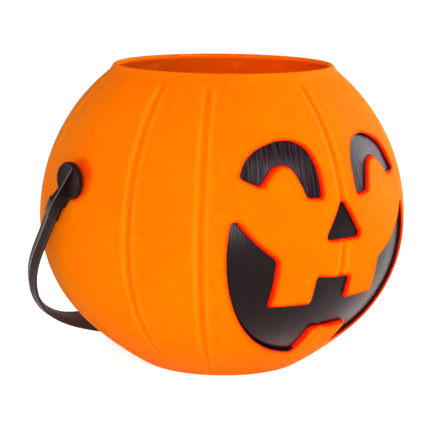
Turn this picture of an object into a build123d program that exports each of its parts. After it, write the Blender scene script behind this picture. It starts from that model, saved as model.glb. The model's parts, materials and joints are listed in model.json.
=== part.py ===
from build123d import *
from math import acos, asin, atan2, cos, degrees, hypot, radians, sin, sqrt
import os

# Pumpkin candy pail: a blow-moulded hollow pail with a jack-o'-lantern face in shallow
# recesses, black paint on the floors of the recesses, and a moulded swing handle whose
# studs snap through the two side walls.
# Millimetres. +Z is up, the origin is the middle of the base, and the face looks along -Y.

# Pail profile, as three arcs that run into each other. The belly arc sweeps down by an angle in degrees.
equator_radius = 108.0
equator_height = 87.0
shoulder_arc_radius = 110.0
belly_arc_radius = 84.0
belly_sweep = 47.57
foot_arc_radius = 200.0
wall = 1.8

# Rim and base
pail_height = 176.8
lip_radius = 1.6
collar_height = 5.6
collar_step = 0.9
base_fillet = 8.0

# Grooves between the lobes
groove_angles = (0.0, 45.0, 67.5, 112.5, 135.0, 180.0, -45.0, -67.5, -112.5, -135.0)
groove_width = 3.6
groove_depth = 1.6
groove_foot_height = 8.5

# Face, drawn as seen from the front, in X and Z
recess_depth = 2.6
paint_thickness = 0.3
face_corner = 2.4
mouth_end_corner = 2.0
mouth_centre_height = 83.5
mouth_radius = 65.0
lip_curve_height = 137.0
lip_curve_radius = 70.0
upper_teeth = ((-40.5, -16.5, 52.3), (7.0, 31.0, 53.3))
lower_tooth = (-7.5, 20.5, 36.0)
nose_top = 111.5
nose_bottom = 88.6
nose_half_width = 13.5
eye_brow_curve = ((-56.0, 124.5), (-50.8, 133.0), (-42.3, 139.3), (-29.5, 142.8),
                  (-18.5, 139.8), (-13.7, 131.0), (-12.7, 120.5), (-13.2, 111.8))
eye_inner_curve = ((-22.6, 112.6), (-25.2, 121.2), (-28.6, 128.3), (-32.8, 130.3),
                   (-37.8, 129.0), (-42.0, 124.8), (-47.0, 119.3))
right_eye_shift = -1.3
right_eye_end = (-57.2, 120.6)

# Handle
pivot_height = 117.0
pivot_radius = 3.0
pivot_clearance = 0.1
snap_head_radius = 4.4
snap_head_length = 2.8
snap_slot = 1.2
disc_radius = 10.5
disc_thickness = 3.8
disc_gap = 0.8
disc_rim = 1.8
disc_dish = 1.0
strap_thickness = 1.8
strap_gap = 3.1
strap_width = 9.2
grip_width = 19.6
grip_half_length = 34.5
grip_taper_length = 52.0
leg_length = 51.0
corner_arc_radius = 68.6
grip_arc_radius = 220.0
root_width = 11.4
root_length = 25.0
root_ramp = 15.0
root_proud = 0.4
neck_width = 9.8
ridge_width = 8.4
ridge_height = 1.5
fin_thickness = 1.4
inner_bead_width = 1.8
inner_bead_height = 0.5
rest_gap = 1.3

# Centres of the profile arcs, as (radius, height)
shoulder_centre = (equator_radius - shoulder_arc_radius, equator_height)
belly_centre = (equator_radius - belly_arc_radius, equator_height)
foot_angle = radians(belly_sweep)
foot_centre = (belly_centre[0] + (belly_arc_radius - foot_arc_radius) * cos(foot_angle),
               equator_height - (belly_arc_radius - foot_arc_radius) * sin(foot_angle))


def arc_reach(centre, radius, height):
    """Radius of a profile arc, measured from the pail's axis, at a height."""
    return centre[0] + sqrt(radius ** 2 - (height - centre[1]) ** 2)


def body_radius(height, inset=0.0):
    """Radius of the pail's smooth surface at a height, moved in by inset."""
    if height >= equator_height:
        return arc_reach(shoulder_centre, shoulder_arc_radius - inset, height)
    if height >= equator_height - (belly_arc_radius - inset) * sin(foot_angle):
        return arc_reach(belly_centre, belly_arc_radius - inset, height)
    return arc_reach(foot_centre, foot_arc_radius - inset, height)


def arc_from(centre, radius, start, end):
    """Arc about a centre from one angle to another, in radians."""
    return CenterArc(centre, radius, degrees(start), degrees(end - start))


def side_arcs(inset, low, high):
    """The three profile arcs, moved in by inset, from a low height to a high height."""
    foot = foot_arc_radius - inset
    shoulder = shoulder_arc_radius - inset
    foot_start = -asin((foot_centre[1] - low) / foot)
    shoulder_end = asin((high - equator_height) / shoulder)
    return [arc_from(foot_centre, foot, foot_start, -foot_angle),
            arc_from(belly_centre, belly_arc_radius - inset, -foot_angle, 0.0),
            arc_from(shoulder_centre, shoulder, 0.0, shoulder_end)]


def spun(edges):
    """Solid of revolution about Z from edges drawn in radius and height."""
    return revolve(Plane.XZ * make_face(edges), Axis.Z)


# Heights and radii that the rim, base and grooves share
collar_foot = pail_height - collar_height
lip_height = pail_height - lip_radius
lip_reach = shoulder_arc_radius - wall + lip_radius
lip_angle = asin((lip_height - equator_height) / lip_reach)
lip_centre = (shoulder_centre[0] + lip_reach * cos(lip_angle), lip_height)
fillet_reach = foot_arc_radius - base_fillet
fillet_angle = -asin((foot_centre[1] - base_fillet) / fillet_reach)
base_radius = foot_centre[0] + fillet_reach * cos(fillet_angle)


def bulb(inset):
    """The pail's smooth bulk, moved in by inset, between the base and the collar."""
    low = base_fillet / 2
    arcs = side_arcs(inset, low, collar_foot)
    bottom = Line((0, low), arcs[0] @ 0)
    top = Line(arcs[2] @ 1, (0, collar_foot))
    return spun([bottom, *arcs, top, Line((0, collar_foot), (0, low))])


def bulk(inset, top):
    """The pail as a solid up to a height, moved in by inset, with its flat base and rounded foot."""
    foot = foot_centre[1] + (foot_arc_radius - inset) * sin(fillet_angle)
    arcs = side_arcs(inset, foot, top)
    fillet_arc = arc_from((base_radius, base_fillet), base_fillet - inset, radians(-90), fillet_angle)
    lid = Polyline(arcs[2] @ 1, (0, top), (0, inset), (base_radius, inset))
    return spun([fillet_arc, *arcs, *lid.edges()])


def rim():
    """Smooth collar and rounded lip that close the top of the wall."""
    foot = body_radius(collar_foot) - collar_step
    reach = hypot(lip_centre[0] - foot, lip_height - collar_foot)
    slope = atan2(lip_height - collar_foot, lip_centre[0] - foot) - asin(lip_radius / reach)
    lip = arc_from(lip_centre, lip_radius, slope - radians(90), lip_angle + radians(180))
    inner_start = asin((collar_foot - equator_height) / (shoulder_arc_radius - wall))
    inside = arc_from(shoulder_centre, shoulder_arc_radius - wall, inner_start, lip_angle)
    return spun([Line(inside @ 0, (foot, collar_foot)), Line((foot, collar_foot), lip @ 0), lip, inside])


def groove_strip(extra):
    """Strip along the meridian at +X that presses in one groove, with extra all round it."""
    height = collar_foot - groove_depth - groove_foot_height
    middle = groove_foot_height + height / 2
    plate = Box(equator_radius, groove_width + extra * 2, height + extra * 2)
    return Pos(equator_radius * 0.75, 0, middle) * plate - bulb(groove_depth + extra)


def moved_curve(points, side, grow):
    """Curve through points; with grow it is moved out from the eye and made longer at both ends."""
    curve = Spline(*points)
    if not grow:
        return curve
    moved = []
    for step in range(len(points)):
        place = step / (len(points) - 1)
        along = curve % place
        out = Vector(along.Y, -along.X) * side
        past = {0: -1, len(points) - 1: 1}.get(step, 0)
        moved.append(curve @ place + out * grow + along * past * grow)
    return Spline(*moved)


def eye(side, grow=0.0):
    """Arched eye: side -1 is the eye at -X, side 1 the other."""
    shift = 0.0 if side < 0 else right_eye_shift
    brow_points = eye_brow_curve if side < 0 else (right_eye_end, *eye_brow_curve[1:])
    brow = moved_curve([(-side * x + shift, z) for x, z in brow_points], side, grow)
    inner = moved_curve([(-side * x + shift, z) for x, z in eye_inner_curve], side, grow)
    outline = make_face([brow, Line(brow @ 1, inner @ 0), inner, Line(inner @ 1, brow @ 0)])
    return fillet(outline.vertices(), face_corner / 2 + grow / 2)


def nose(grow=0.0):
    """Rounded triangle."""
    corners = ((0, nose_top), (-nose_half_width, nose_bottom), (nose_half_width, nose_bottom))
    outline = make_face(Polyline(*corners, close=True))
    outline = fillet(outline.vertices(), face_corner)
    return offset(outline, grow) if grow else outline


def mouth(grow=0.0):
    """Crescent between the chin circle and the lip curve, with square teeth left standing."""
    outline = Pos(0, mouth_centre_height) * Circle(mouth_radius + grow)
    outline -= Pos(0, lip_curve_height) * Circle(lip_curve_radius - grow)
    for left, right, low in upper_teeth:
        tooth = Rectangle(right - left - grow * 2, lip_curve_height - low - grow)
        outline -= Pos((left + right) / 2, (lip_curve_height + low + grow) / 2) * tooth
    left, right, high = lower_tooth
    tooth = Rectangle(right - left - grow * 2, high - grow)
    outline -= Pos((left + right) / 2, (high - grow) / 2) * tooth
    ends = outline.vertices().filter_by(lambda corner: abs(corner.X) > mouth_radius * 0.8)
    outline = fillet(ends, mouth_end_corner)
    sharp = outline.vertices().filter_by(lambda corner: abs(corner.X) < mouth_radius * 0.75)
    return fillet(sharp, face_corner)


def face(grow):
    """The four outlines of the face, by the name of the paint that fills them."""
    return {"left_eye_paint": eye(-1, grow), "right_eye_paint": eye(1, grow),
            "nose_paint": nose(grow), "mouth_paint": mouth(grow)}


def through_front(outline):
    """An outline carried straight back from in front of the pail to its middle."""
    return extrude(Plane.XZ * outline, amount=equator_radius + wall)


def band(start, end, half_width):
    """Strip of the handle's loop between two depths in from its outer face."""
    left, right = loop_curve(start), loop_curve(end)
    ends = [Line(left[0] @ 0, right[0] @ 0), Line(left[-1] @ 1, right[-1] @ 1)]
    return extrude(Plane.XZ * make_face([*left, *right, *ends]), amount=half_width, both=True)


# Places along X that tie the handle to the pail's side walls
disc_inner = body_radius(pivot_height - disc_radius) + disc_gap
disc_outer = disc_inner + disc_thickness
strap_inner = equator_radius + strap_gap + inner_bead_height
strap_outer = strap_inner + strap_thickness
head_outer = body_radius(pivot_height + snap_head_radius, wall) - disc_gap
corner_turn = acos((strap_outer - corner_arc_radius) / (grip_arc_radius - corner_arc_radius))
corner_centre = (strap_outer - corner_arc_radius, pivot_height - leg_length)
grip_centre_height = corner_centre[1] + (grip_arc_radius - corner_arc_radius) * sin(corner_turn)


def loop_curve(depth):
    """The hanging loop as seen from the front, moved in by depth from its outer face."""
    reach = strap_outer - depth
    corner = corner_arc_radius - depth
    grip = grip_arc_radius - depth
    low = corner_centre[1]
    high = pivot_height - root_ramp
    return [Line((-reach, high), (-reach, low)),
            arc_from((-corner_centre[0], low), corner, radians(180), radians(180) + corner_turn),
            arc_from((0, grip_centre_height), grip, radians(180) + corner_turn, radians(360) - corner_turn),
            arc_from((corner_centre[0], low), corner, -corner_turn, 0.0),
            Line((reach, low), (reach, high))]


def strap_ridge():
    """Low roof along the outer face of the loop, sunk a little into the strap."""
    sunk = strap_thickness / 2
    path = Wire([Plane.XZ * edge for edge in loop_curve(0.0)])
    half = ridge_width / 2
    corners = ((-sunk, half), (0, half), (ridge_height, 0), (0, -half), (-sunk, -half))
    start = Pos(-strap_outer, 0, pivot_height - root_ramp)
    section = start * make_face(Polyline(*[(-out, across) for out, across in corners], close=True))
    return sweep(section, path)


def strap_outline():
    """The strap seen from above: narrow legs that widen into the grip."""
    reach = strap_outer + 1
    taper = grip_half_length + grip_taper_length
    third = grip_taper_length / 3
    narrow, wide = strap_width / 2, grip_width / 2
    edges = []
    for way in (1, -1):
        for side in (1, -1):
            points = [(taper, narrow), (taper - third, narrow),
                      (grip_half_length + third, wide), (grip_half_length, wide)]
            edges.append(Bezier(*[(side * x, way * y) for x, y in points]))
            edges.append(Line((side * reach, way * narrow), (side * taper, way * narrow)))
        edges.append(Line((-grip_half_length, way * wide), (grip_half_length, way * wide)))
    edges.append(Line((reach, narrow), (reach, -narrow)))
    edges.append(Line((-reach, narrow), (-reach, -narrow)))
    return make_face(edges)


def along_x(shape, start):
    """A shape built up along Z, turned to point along +X from a place on the pivot axis."""
    return Pos(start, 0, pivot_height) * Rot(0, 90, 0) * shape


def handle_end():
    """Dished disc, snap stud, neck, root block and fin at the +X end of the handle."""
    turned = (Align.CENTER, Align.CENTER, Align.MIN)
    end = along_x(Cylinder(disc_radius, disc_thickness, align=turned), disc_inner)
    dish = Cylinder(disc_radius - disc_rim, disc_dish, align=turned)
    end -= along_x(dish, disc_outer - disc_dish)
    end += along_x(Cylinder(pivot_radius, disc_inner - head_outer, align=turned), head_outer)
    nose_cone = Cone(snap_head_radius * 0.65, snap_head_radius, snap_head_length, align=turned)
    head = along_x(nose_cone, head_outer - snap_head_length)
    slot_length = snap_head_length * 2
    slot = Box(slot_length, snap_slot, slot_length * 2)
    end += head
    end -= Pos(head_outer - snap_head_length / 2, 0, pivot_height) * slot
    neck_top = pivot_height - disc_radius + disc_rim
    block_top = pivot_height - root_ramp
    block_end = pivot_height - root_length
    root_face = strap_outer + root_proud
    neck = Polyline((disc_inner, neck_top), (disc_outer, neck_top), (root_face, block_top), (root_face, block_end),
                    (strap_inner, block_end), (disc_inner, pivot_height - disc_radius), close=True)
    end += extrude(Plane.XZ * make_face(neck), amount=neck_width / 2, both=True)
    half = root_width / 2
    crest = root_face + ridge_height
    block = Polyline((strap_inner, half), (root_face, half), (crest, 0), (root_face, -half), (strap_inner, -half),
                     close=True)
    end += Pos(0, 0, block_end) * extrude(make_face(block), amount=block_top - block_end)
    fin_top = pivot_height + disc_radius - disc_rim
    fin_foot = disc_outer - disc_dish * 1.5
    fin = Polyline((fin_foot, fin_top), (disc_outer, fin_top), (crest, block_top), (strap_inner, block_top),
                   (fin_foot, pivot_height - disc_radius), close=True)
    end += extrude(Plane.XZ * make_face(fin), amount=fin_thickness / 2, both=True)
    return end


def loop_spots():
    """Places along the inner face of half the loop, as (distance from the middle, drop below the pivot)."""
    spots = []
    grip = grip_arc_radius - strap_thickness
    corner = corner_arc_radius - strap_thickness
    for step in range(17):
        turn = radians(90) + (corner_turn - radians(90)) * step / 16
        spots.append((grip * cos(turn), pivot_height - grip_centre_height + grip * sin(turn)))
    for step in range(17):
        turn = corner_turn * step / 16
        spots.append((corner_centre[0] + corner * cos(turn), leg_length + corner * sin(turn)))
    return spots


def half_width(x):
    """Half the strap's width at a distance from the middle of the loop."""
    rise = min(max((grip_half_length + grip_taper_length - x) / grip_taper_length, 0.0), 1.0)
    return (strap_width + (grip_width - strap_width) * rise ** 2 * (3 - 2 * rise)) / 2


def loop_clearance(swing):
    """Least gap between the loop's front edge and the pail, for a swing back from straight down."""
    gaps = []
    foot = foot_centre[1] + foot_arc_radius * sin(fillet_angle)
    for x, drop in loop_spots():
        y = drop * sin(swing) - half_width(x) * cos(swing)
        z = pivot_height - drop * cos(swing) - half_width(x) * sin(swing)
        gaps.append(hypot(x, y) - body_radius(max(z, foot)))
    return min(gaps)


def rest_swing():
    """Angle back from straight down at which the loop lies on the pail, in degrees."""
    low, high = radians(10), radians(80)
    for _ in range(40):
        middle = (low + high) / 2
        if loop_clearance(middle) < rest_gap:
            low = middle
        else:
            high = middle
    return degrees(high)


def handle():
    """One moulding: strap, inner bead and both ends, swung back to where it hangs."""
    drop = pivot_height - grip_centre_height + grip_arc_radius
    outline = Pos(0, 0, pivot_height - drop - 1) * strap_outline()
    strap = band(0.0, strap_thickness, grip_width / 2) & extrude(outline, amount=drop + 1)
    strap += band(strap_thickness * 0.5, strap_thickness + inner_bead_height, inner_bead_width / 2)
    strap += strap_ridge()
    end = handle_end()
    whole = strap + end + mirror(end, about=Plane.YZ)
    pivot = Axis((0, 0, pivot_height), (1, 0, 0))
    return whole.rotate(pivot, rest_swing())


def pressed_in(solid, extra):
    """Presses the grooves and the face's recesses into a solid, with extra all round them."""
    strip = groove_strip(extra)
    floor = bulb(recess_depth + extra)
    for angle in groove_angles:
        solid -= Rot(0, 0, angle - 90) * strip
    for outline in face(extra).values():
        solid -= through_front(outline) - floor
    return solid


def pail_shell():
    """The hollow pail, whose grooves and recesses stand out inside as they would from one mould."""
    inner_top = equator_height + (shoulder_arc_radius - wall) * sin(lip_angle)
    outside = pressed_in(bulk(0.0, collar_foot), 0.0)
    inside = pressed_in(bulk(wall, inner_top), wall)
    bore = Cylinder(pivot_radius + pivot_clearance, equator_radius * 2 + wall, rotation=(0, 90, 0))
    return outside - inside + rim() - Pos(0, 0, pivot_height) * bore


def main():
    parts = {"pail_shell": pail_shell(), "handle": handle()}
    film = bulb(recess_depth - paint_thickness) - bulb(recess_depth)
    for name, outline in face(0.0).items():
        parts[name] = through_front(outline) & film
    os.makedirs("parts", exist_ok=True)
    for name, shape in parts.items():
        shape.label = name
        export_step(shape, f"parts/{name}.step")
        print(name, len(shape.solids()), "solid, volume", round(shape.volume, 1))
    print("handle hangs", round(rest_swing(), 2), "degrees back from straight down")


main()
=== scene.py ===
import json
import math

import bmesh
import bpy
import numpy as np
from bpy.props import FloatProperty, FloatVectorProperty, PointerProperty
from mathutils import Matrix, Vector
from mathutils.geometry import delaunay_2d_cdt


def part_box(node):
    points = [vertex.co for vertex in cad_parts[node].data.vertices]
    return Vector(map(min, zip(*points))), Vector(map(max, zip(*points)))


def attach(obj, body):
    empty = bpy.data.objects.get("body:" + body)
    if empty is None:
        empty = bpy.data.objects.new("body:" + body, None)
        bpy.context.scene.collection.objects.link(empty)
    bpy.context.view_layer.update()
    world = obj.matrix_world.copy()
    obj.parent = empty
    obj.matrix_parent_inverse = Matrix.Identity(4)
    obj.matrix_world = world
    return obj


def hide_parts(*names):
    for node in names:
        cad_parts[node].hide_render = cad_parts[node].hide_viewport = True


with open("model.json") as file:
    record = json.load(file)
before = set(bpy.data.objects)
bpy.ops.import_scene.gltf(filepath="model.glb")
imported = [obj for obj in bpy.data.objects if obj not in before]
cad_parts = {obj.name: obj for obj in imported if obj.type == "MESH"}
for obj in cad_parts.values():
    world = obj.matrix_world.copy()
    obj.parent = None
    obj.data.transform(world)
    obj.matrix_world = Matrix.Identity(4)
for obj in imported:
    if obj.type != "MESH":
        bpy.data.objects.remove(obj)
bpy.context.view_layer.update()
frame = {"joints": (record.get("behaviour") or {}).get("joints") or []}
SHELL_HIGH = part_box("pail_shell")[1]
HINGE = frame["joints"][0]

bl_info = {
    "name": "Pumpkin candy pail",
    "version": (1, 0, 0),
    "blender": (4, 5, 0),
    "location": "View3D > Sidebar > Pail",
    "description": "Builds the pumpkin pail's moulded shell, face paint, strap handle and studio",
    "category": "Object",
}

MM = 0.001

# Pail profile in millimetres, as arcs of radius and height that run into each other
EQUATOR_RADIUS = SHELL_HIGH.x / MM
EQUATOR_HEIGHT = 87.0
SHOULDER_ARC = 110.0
BELLY_ARC = 84.0
FOOT_ARC = 200.0
PAIL_HEIGHT = SHELL_HIGH.z / MM
BASE_FILLET = 8.0
WALL = 1.8
LIP_RADIUS = 1.6
COLLAR_HEIGHT = 5.6
COLLAR_STEP = 0.9

SHOULDER_CENTRE = (EQUATOR_RADIUS - SHOULDER_ARC, EQUATOR_HEIGHT)
BELLY_CENTRE = (EQUATOR_RADIUS - BELLY_ARC, EQUATOR_HEIGHT)
FOOT_ANGLE = math.radians(47.57)
FOOT_CENTRE = (BELLY_CENTRE[0] + (BELLY_ARC - FOOT_ARC) * math.cos(FOOT_ANGLE),
               EQUATOR_HEIGHT - (BELLY_ARC - FOOT_ARC) * math.sin(FOOT_ANGLE))
FILLET_ANGLE = -math.asin((FOOT_CENTRE[1] - BASE_FILLET) / (FOOT_ARC - BASE_FILLET))
BASE_RADIUS = FOOT_CENTRE[0] + (FOOT_ARC - BASE_FILLET) * math.cos(FILLET_ANGLE)
COLLAR_FOOT = PAIL_HEIGHT - COLLAR_HEIGHT
LIP_HEIGHT = PAIL_HEIGHT - LIP_RADIUS
LIP_REACH = SHOULDER_ARC - WALL + LIP_RADIUS
LIP_ANGLE = math.asin((LIP_HEIGHT - EQUATOR_HEIGHT) / LIP_REACH)
LIP_CENTRE = (SHOULDER_CENTRE[0] + LIP_REACH * math.cos(LIP_ANGLE), LIP_HEIGHT)

# Grooves between the lobes: degrees from the middle of the face, heights, shares left at the foot, spreads;
# the last spread sets the width of the highlight painted on their shoulders and of the shade painted at
# their bottom
GROOVE_ANGLES = (0.0, 45.0, 67.5, 112.5, 135.0, 180.0, -45.0, -67.5, -112.5, -135.0)
GROOVE_RUNOUT = 1.5
GROOVE_FOOT = 8.5
GROOVE_START = 10.0
GROOVE_FULL = 36.0
FOOT_WIDTH = 0.5
FOOT_DEPTH = 0.55
VALLEY_SHARE = 0.78
FLANK_SPREAD = 2.8
GROOVE_SHADING_SPREAD = 0.42

# Face outlines, seen from the front in X and Z
MOUTH_CENTRE, MOUTH_RADIUS = (0.0, 83.5), 65.0
LIP_CURVE_CENTRE, LIP_CURVE_RADIUS = (0.0, 137.0), 70.0
UPPER_TEETH = ((-40.5, -16.5, 52.3), (7.0, 31.0, 53.3))
LOWER_TOOTH = (-7.5, 20.5, 36.0)
NOSE = ((0.0, 111.5), (-13.5, 88.6), (13.5, 88.6))
EYE_BROW = ((-56.0, 124.5), (-50.8, 133.0), (-42.3, 139.3), (-29.5, 142.8),
            (-18.5, 139.8), (-13.7, 131.0), (-12.7, 120.5), (-13.2, 111.8))
EYE_INNER = ((-22.6, 112.6), (-25.2, 121.2), (-28.6, 128.3), (-32.8, 130.3),
             (-37.8, 129.0), (-42.0, 124.8), (-47.0, 119.3))
RIGHT_EYE_SHIFT = -1.3
RIGHT_EYE_END = (-57.2, 120.6)
TOOTH_CORNER = 2.4
MOUTH_END_CORNER = 4.65
NOSE_CORNER = 4.2
EYE_CORNER = 2.0
FACE_HALF_ANGLE = 42.0
OUTLINE_STEP = 0.6

# How far the paint stops short of an outline, how the red painted shade round a disc fades, and what counts
# as far
BARE_EDGE = 0.5
BARE_TOOTH = 0.95
DISC_SHADE_START = 0.95
DISC_SHADE_SLOPE = 0.45
FAR = 50.0

# Spacing of the paint films' meshes, and the gap under a film
FILM_CELL = 1.6
FILM_RIM_CELL = 1.3
FILM_GAP = 0.05

# Degrees between the shell's mesh lines away from the face, and the least that two keep apart
WIDE_STEP = 2.2
GROOVE_SPAN = 3.6
LEAST_STEP = 0.12
MOULD_LINE_STEPS = (-0.7, -0.42, -0.3, -0.16, 0.0, 0.16, 0.3, 0.42, 0.7)

# Handle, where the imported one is
PIVOT_HEIGHT = HINGE["pos_m"][2] / MM
HANDLE_REACH = 113.4
DISC_OUTER = 110.86
DISC_INNER = 107.06
DISC_RADIUS = 10.5
STUD_RADIUS = 3.0
HEAD_RADIUS = 4.4
HEAD_OUTER = 99.79
HEAD_LENGTH = 2.8
STRAP_WIDTH = 9.2
RIDGE_WIDTH = 8.4
GRIP_WIDTH = 19.6
GRIP_HALF_LENGTH = 34.5
GRIP_TAPER = 52.0
LEG_LENGTH = 51.0
CORNER_ARC = 68.6
GRIP_ARC = 220.0
ROOT_LENGTH = 25.0
ROOT_RAMP = 15.0
ROOT_PROUD = 0.4
ROOT_DEPTH = 2.2
ROOT_WIDTH = 11.4
NECK_WIDTH = 9.8
FIN_DEPTH = 1.6

# How much highlight is painted on the handle, from the middle of its outer face to the middle of its inner
# face
STRAP_HIGHLIGHT = (0.9, 0.04, 0.03, 0.05, 0.25, 0.06, 0.06, 0.15, 0.26, 0.24, 0.26, 0.28, 0.3)
BLOCK_HIGHLIGHT = (0.6, 0, 0, 0.12, 0, 0, 0)
FIN_HIGHLIGHT = (0.55, 0.55, 0, 0, 0, 0)
NO_HIGHLIGHT = (0,)

# How much paler the handle's blotches are, and heights in metres between which the glints painted along the
# paint's streaks clear
BLOTCH_LIFT = 1.7
GLINT_LOW, GLINT_HIGH = 0.110, 0.116

# Studio in metres, and the part of the sky over which it dims
FLOOR_HALF = 6.0
LAMP_DISTANCE = 1.4
LAMP_AIM = Vector((0.0, 0.0, 0.09))
SKY_LOW, SKY_HIGH = 0.08, 0.42


class PailShellSettings(bpy.types.PropertyGroup):
    """Sizes and colours of the moulded shell"""
    groove_width: FloatProperty(
        name="Groove width", description="Width of the soft valley between two lobes",
        default=6.0 * MM, min=1 * MM, unit="LENGTH")
    groove_depth: FloatProperty(
        name="Groove depth", description="Depth of the valley between two lobes",
        default=1.6 * MM, min=0, unit="LENGTH")
    recess_depth: FloatProperty(
        name="Recess depth", description="Depth of the pressed-in face",
        default=2.6 * MM, min=0, unit="LENGTH")
    recess_softness: FloatProperty(
        name="Recess softness", description="Width over which a recess wall rounds over",
        default=1.7 * MM, min=0.4 * MM, unit="LENGTH")
    parting_height: FloatProperty(
        name="Parting line", description="Height of the thin mould line at both sides",
        default=0.22 * MM, min=0, unit="LENGTH")
    face_cell: FloatProperty(
        name="Face mesh size", description="Spacing of the mesh over the face",
        default=0.55 * MM, min=0.3 * MM, unit="LENGTH")
    orange: FloatVectorProperty(
        name="Orange", description="Colour of the plastic", subtype="COLOR",
        min=0, max=1, default=(1.0, 0.147, 0.0))
    deep_orange: FloatVectorProperty(
        name="Deep orange", description="Colour where the plastic is thicker", subtype="COLOR",
        min=0, max=1, default=(1.0, 0.127, 0.0))
    # Painted light: a highlight on the shoulders of the grooves and shade at their bottom
    groove_highlight_orange: FloatVectorProperty(
        name="Pale orange", description="Colour of the highlight painted on the shoulders of a groove",
        subtype="COLOR", min=0, max=1, default=(1.0, 0.176, 0.002))
    groove_shade_orange: FloatVectorProperty(
        name="Valley orange", description="Colour of the shade painted at the bottom of a groove", subtype="COLOR",
        min=0, max=1, default=(1.0, 0.108, 0.0))
    # Red at the paint's edges, and red painted shade round the handle's discs
    red_edge_and_disc_shade: FloatVectorProperty(
        name="Edge red", description="Colour at the edges of the paint, and of the shade painted round the discs",
        subtype="COLOR", min=0, max=1, default=(0.85, 0.008, 0.0))
    wall_paint: FloatVectorProperty(
        name="Wall paint", description="Colour of the paint on the recess walls", subtype="COLOR",
        min=0, max=1, default=(0.02, 0.008, 0.008))


class FacePaintSettings(bpy.types.PropertyGroup):
    """Sizes and colours of the face paint"""
    film_lift: FloatProperty(
        name="Film", description="How far the paint stands up from the floor of its recess",
        default=0.25 * MM, min=0.05 * MM, unit="LENGTH")
    edge_gap: FloatProperty(
        name="Edge gap", description="How far the paint stays away from the recess edge",
        default=0.35 * MM, min=0, unit="LENGTH")
    black: FloatVectorProperty(
        name="Paint black", description="Colour of the paint", subtype="COLOR",
        min=0, max=1, default=(0.003, 0.001, 0.0013))
    # Glints painted along the brush's streaks
    streak_glint: FloatVectorProperty(
        name="Streaks", description="Colour of the glints painted on the brush's fine streaks", subtype="COLOR",
        min=0, max=1, default=(0.026, 0.014, 0.02))


class HandleSettings(bpy.types.PropertyGroup):
    """Sizes and colours of the handle"""
    hang_angle: FloatProperty(
        name="Hang angle", description="How far the handle hangs back from straight down",
        default=math.radians(32.46), subtype="ANGLE")
    strap_thickness: FloatProperty(
        name="Strap thickness", description="Thickness of the strap without its bead",
        default=1.8 * MM, min=1 * MM, unit="LENGTH")
    ridge_height: FloatProperty(
        name="Ridge height", description="Height of the low roof along the strap's outer face",
        default=1.45 * MM, min=0, unit="LENGTH")
    bead_height: FloatProperty(
        name="Bead height", description="Height of the bead along the strap's inner face",
        default=0.5 * MM, min=0, unit="LENGTH")
    black: FloatVectorProperty(
        name="Plastic black", description="Colour of the handle", subtype="COLOR",
        min=0, max=1, default=(0.0055, 0.002, 0.002))
    # Highlight painted along the handle's crests, edges and inner face
    painted_highlight: FloatVectorProperty(
        name="Painted highlight", description="Colour of the highlight painted along the crest of the ridge", subtype="COLOR",
        min=0, max=1, default=(0.2, 0.145, 0.13))


class StudioSettings(bpy.types.PropertyGroup):
    """Light, floor and camera"""
    floor: FloatVectorProperty(
        name="Floor", description="Colour of the floor", subtype="COLOR",
        min=0, max=1, default=(0.9, 0.9, 0.9))
    floor_glow: FloatProperty(
        name="Floor white", description="How much whiter the floor looks than its light makes it",
        default=0.68, min=0)
    horizon: FloatProperty(
        name="Horizon", description="Brightness of the surroundings at eye level", default=1.0, min=0)
    overhead: FloatProperty(
        name="Overhead", description="Brightness of the surroundings overhead", default=0.34, min=0)
    key: FloatProperty(
        name="Key power", description="Power of the main lamp", default=21.0, min=0, unit="POWER")
    side: FloatProperty(
        name="Side power", description="Power of the lamp on the right", default=14.0, min=0,
        unit="POWER")
    small: FloatProperty(
        name="Small power", description="Power of the small lamp above the camera's right",
        default=4.5, min=0, unit="POWER")


def profile_arc(centre, radius, start, end, step):
    """Points of an arc about a centre, with their outward normals."""
    count = max(2, round(abs(end - start) * radius / step))
    angles = np.linspace(start, end, count + 1)
    normal = np.column_stack([np.cos(angles), np.sin(angles)])
    return np.asarray(centre) + radius * normal, normal


def inset_radius(height, inset):
    """Radius of the smooth pail at a height, moved in by inset."""
    height = np.asarray(height, float)
    belly_low = EQUATOR_HEIGHT - (BELLY_ARC - inset) * math.sin(FOOT_ANGLE)

    def reach(centre, radius):
        return centre[0] + np.sqrt(np.maximum((radius - inset) ** 2 - (height - centre[1]) ** 2, 0))

    foot = reach(FOOT_CENTRE, FOOT_ARC)
    belly = reach(BELLY_CENTRE, BELLY_ARC)
    shoulder = reach(SHOULDER_CENTRE, SHOULDER_ARC)
    return np.where(height >= EQUATOR_HEIGHT, shoulder, np.where(height >= belly_low, belly, foot))


def smoothstep(low, high, value):
    """0 below low, 1 above high, and a soft rise between."""
    t = np.clip((np.asarray(value, float) - low) / (high - low), 0.0, 1.0)
    return t * t * (3.0 - 2.0 * t)


def arc_points(centre, radius, start, end):
    """Points along an arc between two angles in degrees."""
    count = max(2, round(abs(math.radians(end - start)) * radius / OUTLINE_STEP))
    angles = np.radians(np.linspace(start, end, count + 1))
    return np.column_stack([centre[0] + radius * np.cos(angles), centre[1] + radius * np.sin(angles)])


def line_points(start, end):
    """Points along a straight edge."""
    start, end = np.asarray(start, float), np.asarray(end, float)
    count = max(2, round(np.linalg.norm(end - start) / OUTLINE_STEP))
    return start + np.linspace(0, 1, count + 1)[:, None] * (end - start)


def straight_runs(corners):
    """Straight edges from each corner to the next."""
    return [line_points(start, end) for start, end in zip(corners, corners[1:])]


def curve_points(knots):
    """Points along a smooth curve through knots."""
    knots = np.asarray(knots, float)
    padded = np.vstack([2 * knots[0] - knots[1], knots, 2 * knots[-1] - knots[-2]])
    parts = []
    for a, b, c, d in zip(padded, padded[1:], padded[2:], padded[3:]):
        count = max(2, round(np.linalg.norm(c - b) / OUTLINE_STEP))
        t = np.linspace(0, 1, count + 1)[:-1, None]
        parts.append(0.5 * (2 * b + (c - a) * t + (2 * a - 5 * b + 4 * c - d) * t ** 2
                            + (3 * b - a - 3 * c + d) * t ** 3))
    return np.vstack([*parts, knots[-1:]])


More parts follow.
